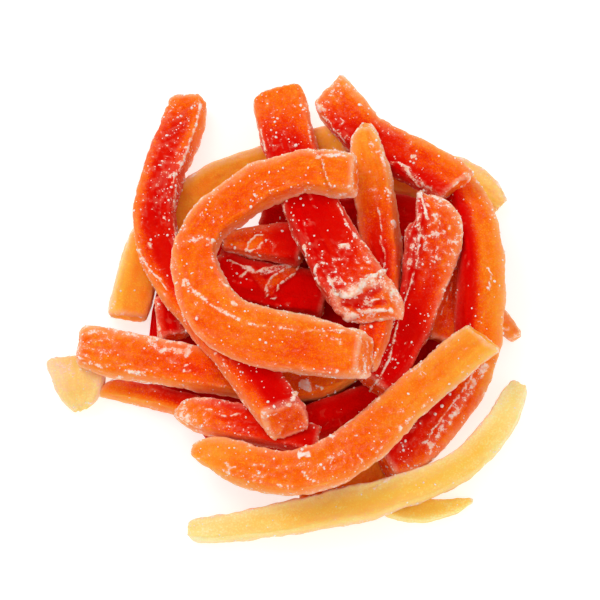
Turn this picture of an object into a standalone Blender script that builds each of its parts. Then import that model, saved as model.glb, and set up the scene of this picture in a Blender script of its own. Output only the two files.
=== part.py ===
"""Dried papaya: a heap of candied spears as it lies on a table, one fused solid.

The spears are laid one on another from the table up. Each keeps the route seen in the
picture, and takes its height from the spears under it and from its own stiffness.
Metres, +Z up. The origin is the centre of the heap's flat base.
"""

import math

import bmesh
import bpy
import numpy as np
from mathutils import Matrix, Vector

MM = 0.001

# The picture that the routes were read in, and the view it was taken from.
PX_PER_MM = 4.0
CENTRE_PX = (300.0, 300.0)
VIEW_ELEVATION = math.radians(72.0)
VIEW_DISTANCE = 1500.0

# How the spears lie.
STATIONS = 33          # places along a spear where its height is settled
STIFFNESS = 2600.0     # bending stiffness over weight for each millimetre, mm3
CONTACT = 30.0         # firmness of the flesh where spears press on each other
PRESS = 0.6            # how far a spear sinks into the sticky ones under it, mm
TAPER = 0.65           # how much a spear thins where it narrows
TURNS = 8              # rounds of settling, because its height moves it in the picture
TABLE_GAP = 0.3        # clearance of the lowest spears over the table, mm
CELL = 1.0             # grid of the height map, mm
HALF = 75              # half the height map, in cells

# Spear section and facets.
SIDES = 8
SEGMENT = 5.5          # length of a facet along a spear, mm
END_BEVEL = 1.6        # length of the narrower part at a cut end, mm
SHOULDER = 0.62        # flat top and bottom as a share of the width
FLANK = 0.45           # flat side as a share of the thickness
END_SCALE = 0.84       # section at the cut ends against the section beside them
CRUMB = 20 * MM ** 3   # largest scrap of the fusing that may be dropped

# The inner mass that the spears rest on, in mm: outline on the table, then
# height and scale of each ring above it.
CORE_OUTLINE = [(-38, -13), (-37, -3), (-35, 6), (-31, 14), (-25, 19), (-19, 18), (-17, 14),
                (-9, 14), (-7, 19), (-3, 30), (10, 30), (22, 28), (33, 26), (40, 20), (42, 11),
                (42.5, 2), (42, -8), (40, -17), (36, -25), (31, -33), (25, -41), (14, -46),
                (0, -47), (-12, -44), (-22, -38), (-28, -30), (-36, -22)]
CORE_RINGS = [(0.0, 1.0), (2.5, 0.97), (5.5, 0.82), (8.0, 0.50)]

# Each spear: name, thickness in mm, rolls along it in degrees, and the route as
# (x, y, visible width), all three in pixels. They are laid in this order.
SPEARS = [
    # outer spears that lie on the table
    ("yellow_wedge", 4.5, (0,), [(386, 507, 22), (408, 509, 28), (430, 510, 26), (453, 507, 18),
                                 (472, 501, 7)]),
    ("pale_stub", 7.5, (0,), [(81, 409, 22), (80, 400, 34), (79, 388, 46), (78, 374, 54), (77, 360, 58)]),
    ("pink_end", 6.0, (0,), [(458, 288, 26), (476, 299, 24), (500, 319, 20), (517, 338, 16)]),
    ("back_right", 7.0, (0,), [(360, 170, 44), (396, 177, 54), (430, 176, 52), (460, 179, 44),
                               (484, 193, 38), (500, 207, 22)]),
    ("thin_left", 6.5, (0,), [(105, 388, 20), (138, 393, 25), (168, 400, 27), (198, 407, 28)]),
    ("red_nub", 6.0, (0,), [(168, 298, 24), (170, 316, 28), (174, 338, 32)]),
    ("back_arc", 7.5, (10, 5, 0), [(127, 318, 38), (130, 304, 42), (138, 276, 42), (145, 256, 43),
                                   (153, 240, 44), (170, 217, 45), (193, 199, 44), (219, 182, 44),
                                   (246, 172, 44), (276, 163, 46), (305, 152, 46), (352, 140, 46)]),
    ("brown_gap", 4.5, (0,), [(300, 500, 36), (325, 496, 42), (350, 488, 44), (372, 476, 38),
                              (386, 466, 26)]),
    ("dark_cross", 7.0, (0,), [(262, 220, 42), (310, 222, 48), (350, 223, 52), (392, 221, 58),
                               (418, 224, 54)]),
    ("dark_front", 7.0, (0,), [(276, 428, 38), (312, 422, 40), (346, 410, 40), (380, 396, 36)]),
    ("right_sliver", 6.5, (0,), [(455, 256, 22), (453, 285, 26), (448, 312, 28), (440, 342, 28)]),
    ("flat_inner", 6.5, (0,), [(214, 266, 46), (240, 280, 50), (268, 287, 52), (300, 291, 52),
                               (326, 296, 48)]),
    ("small_inner", 6.5, (0,), [(222, 243, 22), (240, 242, 29), (262, 243, 38), (285, 244, 44),
                                (304, 247, 44)]),
    ("front_pale", 7.5, (0,), [(189, 530, 22), (203, 530, 28), (225, 528, 31), (250, 525, 33),
                               (280, 520, 36), (310, 514, 37), (340, 507, 41), (370, 501, 40),
                               (395, 493, 38), (420, 486, 37), (445, 475, 36), (470, 459, 35),
                               (492, 436, 34), (503, 420, 31), (512, 402, 28), (519, 386, 20)]),
    ("right_arc", 8.0, (-20, -24, -20, -12), [(458, 186, 42), (472, 214, 46), (479, 246, 48),
                                              (481, 275, 49), (480, 312, 48), (477, 345, 48),
                                              (466, 377, 48), (452, 405, 43), (434, 429, 42),
                                              (412, 450, 42), (385, 466, 34)]),
    ("upper_right", 8.0, (-6, -8, -10), [(329, 89, 40), (342, 108, 48), (363, 133, 49),
                                         (400, 155, 52), (432, 171, 52), (456, 188, 48)]),
    ("lower_left", 7.5, (0,), [(176, 411, 18), (190, 414, 32), (212, 417, 40), (245, 424, 40),
                               (280, 432, 38), (318, 441, 32)]),
    ("left_orange", 8.0, (0,), [(78, 347, 42), (92, 348, 50), (110, 353, 52), (130, 357, 52),
                                (155, 361, 50), (180, 365, 50), (210, 371, 50), (240, 377, 48),
                                (270, 382, 47), (300, 382, 46), (328, 376, 42), (352, 365, 36)]),
    ("right_red", 8.0, (-18, -14, -8, -16), [(420, 192, 6), (424, 203, 20), (431, 213, 42),
                                             (434, 225, 55), (434, 238, 59), (432, 250, 57),
                                             (428, 266, 52), (421, 291, 45), (413, 316, 43),
                                             (403, 340, 42), (390, 362, 41), (372, 386, 38)]),
    ("centre_drop", 7.5, (5, 20, 20, 10), [(366, 125, 18), (366, 147, 34), (371, 175, 41),
                                           (377, 205, 42), (380, 232, 42), (384, 260, 38),
                                           (383, 290, 36), (378, 318, 34), (371, 345, 32),
                                           (363, 366, 28)]),
    ("front_orange", 8.5, (0,), [(193, 451, 16), (204, 453, 28), (222, 457, 40), (250, 467, 47),
                                 (277, 473, 47), (302, 472, 48), (333, 462, 50), (364, 441, 51),
                                 (391, 416, 50), (424, 386, 44), (462, 355, 44), (484, 337, 43)]),
    ("long_red", 8.0, (12, 12, 0, -6), [(187, 102, 38), (186, 118, 43), (177, 139, 45), (168, 160, 43),
                                        (162, 179, 44), (156, 202, 44), (155, 228, 44),
                                        (161, 252, 44), (172, 272, 45), (190, 299, 46),
                                        (211, 324, 48), (236, 352, 50), (264, 389, 50),
                                        (287, 421, 46)]),
    ("wide_red", 8.5, (0,), [(278, 95, 50), (283, 119, 54), (290, 146, 53), (300, 178, 53),
                             (311, 205, 54), (322, 230, 58), (333, 250, 60), (347, 274, 63),
                             (361, 292, 63), (369, 304, 60)]),
    ("top_loop", 8.5, (0, 0, 8, 14, 4), [(356, 176, 46), (340, 175, 50), (320, 172, 47),
                                         (302, 171, 49), (277, 180, 50), (258, 186, 50),
                                         (234, 204, 49), (209, 222, 46), (195, 248, 43),
                                         (197, 276, 48), (209, 304, 52), (226, 323, 57),
                                         (249, 334, 61), (304, 345, 61), (344, 353, 54),
                                         (366, 355, 48)]),
]

HEAP_COLOUR = (0.72, 0.075, 0.006, 1.0)


def resample(points, count):
    """Even stations along a smooth curve through the points; a row is x, y, width."""
    p = np.array(points, float)
    pad = np.vstack([2 * p[0] - p[1], p, 2 * p[-1] - p[-2]])
    dense = []
    for i in range(len(p) - 1):
        a, b, c, d = pad[i:i + 4]
        for t in np.linspace(0, 1, 16, endpoint=False):
            dense.append(0.5 * (2 * b + (c - a) * t + (2 * a - 5 * b + 4 * c - d) * t ** 2
                                + (3 * b - 3 * c + d - a) * t ** 3))
    dense.append(p[-1])
    dense = np.array(dense)
    run = np.concatenate([[0], np.cumsum(np.hypot(*np.diff(dense[:, :2], axis=0).T))])
    at = np.linspace(0, run[-1], count)
    return np.column_stack([np.interp(at, run, dense[:, k]) for k in range(3)])


def settle(support, step):
    """Heights of a stiff spear that lies on the support under its own weight."""
    n = len(support)
    bend = np.zeros((n - 2, n))
    for i in range(n - 2):
        bend[i, i:i + 3] = (1, -2, 1)
    stiff = STIFFNESS * bend.T @ bend / step ** 3
    z = support - 0.2
    for _ in range(60):
        on = (z < support).astype(float)
        if on.sum() < 2:
            on[np.argsort(z - support)[:2]] = 1
        spring = on * CONTACT * step
        new = np.linalg.solve(stiff + np.diag(spring + 1e-6), spring * support - step)
        if np.abs(new - z).max() < 1e-4:
            break
        z = 0.5 * z + 0.5 * new
    return np.maximum(new, TABLE_GAP)


def core_heights():
    """Height map of the inner mass, from its rings."""
    top = np.zeros((2 * HALF + 1, 2 * HALF + 1))
    x, y = np.meshgrid(np.arange(-HALF, HALF + 1), np.arange(-HALF, HALF + 1), indexing="ij")
    base = np.array(CORE_OUTLINE, float)
    for height, scale in CORE_RINGS[1:]:
        ring = base * scale
        inside = np.zeros(x.shape, bool)
        for (x0, y0), (x1, y1) in zip(ring, np.roll(ring, -1, axis=0)):
            cross = (y0 > y) != (y1 > y)
            edge = x0 + (y - y0) / np.where(y1 == y0, 1.0, y1 - y0) * (x1 - x0)
            inside ^= cross & (x < edge)
        top[inside] = height
    return top


def lay_spears():
    """Lays the spears in order. Gives the name, rolls and stations of each.

    A station is x, y, z of the middle, width and thickness, in mm.
    """
    sin_e, cos_e = math.sin(VIEW_ELEVATION), math.cos(VIEW_ELEVATION)
    top = core_heights()
    grid = np.arange(-HALF, HALF + 1) * CELL
    gx, gy = np.meshgrid(grid, grid, indexing="ij")
    laid = []
    for name, thick, rolls, points in SPEARS:
        s = resample(points, STATIONS)
        u = (s[:, 0] - CENTRE_PX[0]) / PX_PER_MM
        v = (CENTRE_PX[1] - s[:, 1]) / PX_PER_MM
        roll = np.radians(np.interp(np.linspace(0, 1, STATIONS), np.linspace(0, 1, len(rolls)), rolls))
        seen = s[:, 2] / PX_PER_MM
        tall = thick * np.minimum(1.0, 1 - TAPER + TAPER * seen / np.median(seen))
        x, y, low = u, v / sin_e, np.zeros(STATIONS)
        for turn in range(TURNS):
            tx, ty = np.gradient(x), np.gradient(y)
            run = np.hypot(tx, ty)
            lean = cos_e * tx / run
            face = sin_e * np.cos(roll) + lean * np.sin(roll)
            flank = np.abs(sin_e * np.sin(roll) - lean * np.cos(roll))
            width = (seen - 0.8 * tall * flank) / face
            support = np.zeros(STATIONS)
            for f in (-0.38, -0.19, 0.0, 0.19, 0.38):
                col = np.round((x - f * width * ty / run) / CELL).astype(int) + HALF
                row = np.round((y + f * width * tx / run) / CELL).astype(int) + HALF
                support = np.maximum(support, top[np.clip(col, 0, 2 * HALF), np.clip(row, 0, 2 * HALF)])
            new = settle(np.maximum(support - PRESS, 0.0), run.sum() / (STATIONS - 1))
            low = new if turn == 0 else 0.5 * (low + new)
            middle = low + 0.5 * tall
            shrink = 1 - (middle * sin_e - y * cos_e) / VIEW_DISTANCE
            x, y = u * shrink, (v * shrink - middle * cos_e) / sin_e
        fine = np.linspace(0, STATIONS - 1, 140)
        fx, fy, fz, fw, ft = (np.interp(fine, np.arange(STATIONS), a) for a in (x, y, low, width, tall))
        away = (gx[..., None] - fx) ** 2 + (gy[..., None] - fy) ** 2
        near = away.argmin(-1)
        r = np.sqrt(np.take_along_axis(away, near[..., None], -1)[..., 0]) / (fw[near] / 2)
        surface = fz[near] + ft[near] * (1 - 0.18 * r ** 4)
        top = np.where(r < 1.0, np.maximum(top, surface), top)
        laid.append((name, roll, np.column_stack([x, y, middle, width, tall])))
    return laid


def section(width, thick):
    """Corner offsets of a spear's section: across, up."""
    a, b = width / 2, thick / 2
    c, d = a * SHOULDER, b * FLANK
    return [(c, b), (a, d), (a, -d), (c, -b), (-c, -b), (-a, -d), (-a, d), (-c, b)]


def add_spear(name, roll, stations, collection):
    """One closed faceted spear along its stations."""
    path = [Vector(row[:3]) for row in stations]
    length = sum((b - a).length for a, b in zip(path, path[1:]))
    edge = END_BEVEL / length
    inner = np.linspace(edge, 1 - edge, max(3, round(length / SEGMENT) + 1))
    at = np.concatenate([[0], inner, [1]]) * (STATIONS - 1)
    count = len(at)
    rows = np.column_stack([np.interp(at, np.arange(STATIONS), stations[:, k]) for k in range(5)])
    turns = np.interp(at, np.arange(STATIONS), roll)
    bm = bmesh.new()
    rings = []
    for i, (x, y, z, width, thick) in enumerate(rows):
        ahead = rows[min(i + 1, count - 1)]
        behind = rows[max(i - 1, 0)]
        along = Vector(ahead[:3] - behind[:3]).normalized()
        across = Vector((0, 0, 1)).cross(along).normalized()
        across.rotate(Matrix.Rotation(turns[i], 3, along))
        up = along.cross(across)
        scale = END_SCALE if i in (0, count - 1) else 1.0
        centre = Vector((x, y, z))
        ring = []
        for s, h in section(width * scale, thick * scale):
            p = centre + across * s + up * h
            p.z = max(p.z, TABLE_GAP)
            ring.append(bm.verts.new(p * MM))
        rings.append(ring)
    for a, b in zip(rings, rings[1:]):
        for k in range(SIDES):
            bm.faces.new((a[k], b[k], b[(k + 1) % SIDES], a[(k + 1) % SIDES]))
    bm.faces.new(rings[0])
    bm.faces.new(list(reversed(rings[-1])))
    bmesh.ops.triangulate(bm, faces=bm.faces[:])
    bmesh.ops.recalc_face_normals(bm, faces=bm.faces[:])
    return to_object(bm, name, collection)


def add_core(collection):
    """The inner mass: stacked rings over a flat base."""
    bm = bmesh.new()
    rings = []
    for height, scale in CORE_RINGS:
        rings.append([bm.verts.new((x * scale * MM, y * scale * MM, height * MM))
                      for x, y in CORE_OUTLINE])
    n = len(CORE_OUTLINE)
    for a, b in zip(rings, rings[1:]):
        for k in range(n):
            bm.faces.new((a[k], b[k], b[(k + 1) % n], a[(k + 1) % n]))
    bm.faces.new(rings[0])
    bm.faces.new(list(reversed(rings[-1])))
    bmesh.ops.triangulate(bm, faces=bm.faces[:])
    bmesh.ops.recalc_face_normals(bm, faces=bm.faces[:])
    return to_object(bm, "core", collection)


def to_object(bm, name, collection):
    mesh = bpy.data.meshes.new(name)
    bm.to_mesh(mesh)
    bm.free()
    obj = bpy.data.objects.new(name, mesh)
    collection.objects.link(obj)
    return obj


def shells(bm):
    """Groups of connected faces."""
    left = set(bm.faces)
    found = []
    while left:
        start = left.pop()
        group, edge = [start], [start]
        while edge:
            face = edge.pop()
            for e in face.edges:
                for other in e.link_faces:
                    if other in left:
                        left.remove(other)
                        group.append(other)
                        edge.append(other)
        found.append(group)
    return found


def shell_volume(faces):
    total = 0.0
    for face in faces:
        a = face.verts[0].co
        for b, c in zip(face.verts[1:], face.verts[2:]):
            total += a.dot(b.co.cross(c.co)) / 6
    return total


def keep_one_solid(mesh):
    """Keeps the largest shell: fills sealed hollows and drops loose crumbs."""
    bm = bmesh.new()
    bm.from_mesh(mesh)
    bmesh.ops.triangulate(bm, faces=bm.faces[:])
    groups = sorted(shells(bm), key=shell_volume)
    loose = [shell_volume(group) for group in groups[:-1]]
    if loose and max(loose) > CRUMB:
        raise RuntimeError(f"a spear hangs loose: {max(loose) / MM ** 3:.0f} mm3")
    drop = [face for group in groups[:-1] for face in group]
    bmesh.ops.delete(bm, geom=drop, context="FACES")
    bm.to_mesh(mesh)
    bm.free()


def make_material():
    material = bpy.data.materials.new("candied_papaya")
    material.use_nodes = True
    shader = material.node_tree.nodes["Principled BSDF"]
    shader.inputs["Base Color"].default_value = HEAP_COLOUR
    shader.inputs["Roughness"].default_value = 0.55
    shader.inputs["Metallic"].default_value = 0.0
    return material


def build():
    for obj in list(bpy.data.objects):
        bpy.data.objects.remove(obj, do_unlink=True)
    scene = bpy.context.scene
    pieces = bpy.data.collections.new("spears")
    scene.collection.children.link(pieces)
    for name, roll, stations in lay_spears():
        add_spear(name, roll, stations, pieces)
    heap = add_core(scene.collection)
    heap.name = "papaya_heap"
    join = heap.modifiers.new("join", "BOOLEAN")
    join.operation = "UNION"
    join.operand_type = "COLLECTION"
    join.collection = pieces
    join.solver = "EXACT"
    bpy.context.view_layer.update()
    depsgraph = bpy.context.evaluated_depsgraph_get()
    fused = bpy.data.meshes.new_from_object(heap.evaluated_get(depsgraph))
    heap.modifiers.clear()
    heap.data = fused
    fused.name = "papaya_heap"
    for obj in list(pieces.objects):
        bpy.data.objects.remove(obj, do_unlink=True)
    bpy.data.collections.remove(pieces)
    keep_one_solid(fused)
    fused.materials.clear()
    fused.materials.append(make_material())
    fused.shade_smooth()


build()
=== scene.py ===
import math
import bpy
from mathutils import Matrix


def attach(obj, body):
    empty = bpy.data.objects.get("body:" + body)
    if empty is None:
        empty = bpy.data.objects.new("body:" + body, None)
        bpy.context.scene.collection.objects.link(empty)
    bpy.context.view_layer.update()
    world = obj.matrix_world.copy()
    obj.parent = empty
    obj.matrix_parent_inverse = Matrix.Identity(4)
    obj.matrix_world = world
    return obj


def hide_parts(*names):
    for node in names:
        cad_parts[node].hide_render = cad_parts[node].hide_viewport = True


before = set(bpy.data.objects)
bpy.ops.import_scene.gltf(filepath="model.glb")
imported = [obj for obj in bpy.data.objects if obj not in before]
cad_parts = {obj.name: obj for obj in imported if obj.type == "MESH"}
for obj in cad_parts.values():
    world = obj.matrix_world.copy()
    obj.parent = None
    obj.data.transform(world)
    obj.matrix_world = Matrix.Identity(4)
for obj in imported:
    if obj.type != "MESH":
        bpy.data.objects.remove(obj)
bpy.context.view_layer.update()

# The spears: strips of candied papaya, cut from the fruit, boiled in sugar and dried.
# Each is a subdivided box bent along the route it lies on, with sunken faces, wavy
# corners, creases, slanted cut ends, and sugar dried on along its corners and folds.
from types import SimpleNamespace
import bmesh
import bpy
import numpy as np
from mathutils import Euler, Matrix, Vector, noise

MM = 0.001

# The picture that the routes were read in, and the view it was taken from.
PX_PER_MM = 4.0
CENTRE_PX = (300.0, 300.0)
VIEW_ELEVATION = math.radians(72.0)
VIEW_DISTANCE = 1500.0     # mm
TO_VIEWER = np.array([0.0, -math.cos(VIEW_ELEVATION), math.sin(VIEW_ELEVATION)])

# How the spears lie, the same as for the solid.
STATIONS = 33          # places along a spear where its height is settled
STIFFNESS = 2600.0     # bending stiffness over weight for each millimetre, mm3
CONTACT = 30.0         # firmness of the flesh where spears press on each other
PRESS = 0.6            # how far a spear sinks into the sticky ones under it, mm
TAPER = 0.65           # how much a spear thins where it narrows
TURNS = 8              # rounds of settling, because its height moves it in the picture
TABLE_GAP = 0.3        # clearance of the lowest spears over the table, mm
CELL = 1.0             # grid of the height map, mm
HALF = 75              # half the height map, in cells

# The fine mesh of a spear. Relief is given as the size of its forms and their height, mm.
MESH_CELL = 0.46
LOWEST = 0.05          # no spear reaches under this height over the table, mm
SQUARENESS = 3.4       # power of the rounded section: 2 is round, 10 nearly square
HOLLOW_TOP = 0.55      # depth that the top and bottom sink as they dry, mm
HOLLOW_SIDE = 0.35     # depth that the sides sink, mm
CUT_ROUGHNESS = (2.6, 0.35)
CORNER_WAVES = (3.2, 0.07)     # the height is a share of the section
SWELLS = (11.0, 0.03)          # a share of the width
SWELLS_UP = (9.0, 0.08)        # a share of the thickness
WANDER = (10.0, 0.15)          # sideways
LUMPS = (6.0, 0.30)
DIMPLES = (2.2, 0.22)
ROUGHNESS = (0.9, 0.09)
PLEATS = (1.9, 0.34)           # creases along the fibres
WRINKLES = (1.9, 0.32)         # folds across the fibres
CORNER_LIFT = 0.22     # height of the ridges that the corners dry to, mm

# The inner mass that the spears rest on, in mm: outline on the table, then
# height and scale of each ring above it.
CORE_OUTLINE = [(-38, -13), (-37, -3), (-35, 6), (-31, 14), (-25, 19), (-19, 18), (-17, 14),
                (-9, 14), (-7, 19), (-3, 30), (10, 30), (22, 28), (33, 26), (40, 20), (42, 11),
                (42.5, 2), (42, -8), (40, -17), (36, -25), (31, -33), (25, -41), (14, -46),
                (0, -47), (-12, -44), (-22, -38), (-28, -30), (-36, -22)]
CORE_RINGS = [(0.0, 1.0), (2.5, 0.97), (5.5, 0.82), (8.0, 0.50)]

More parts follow.
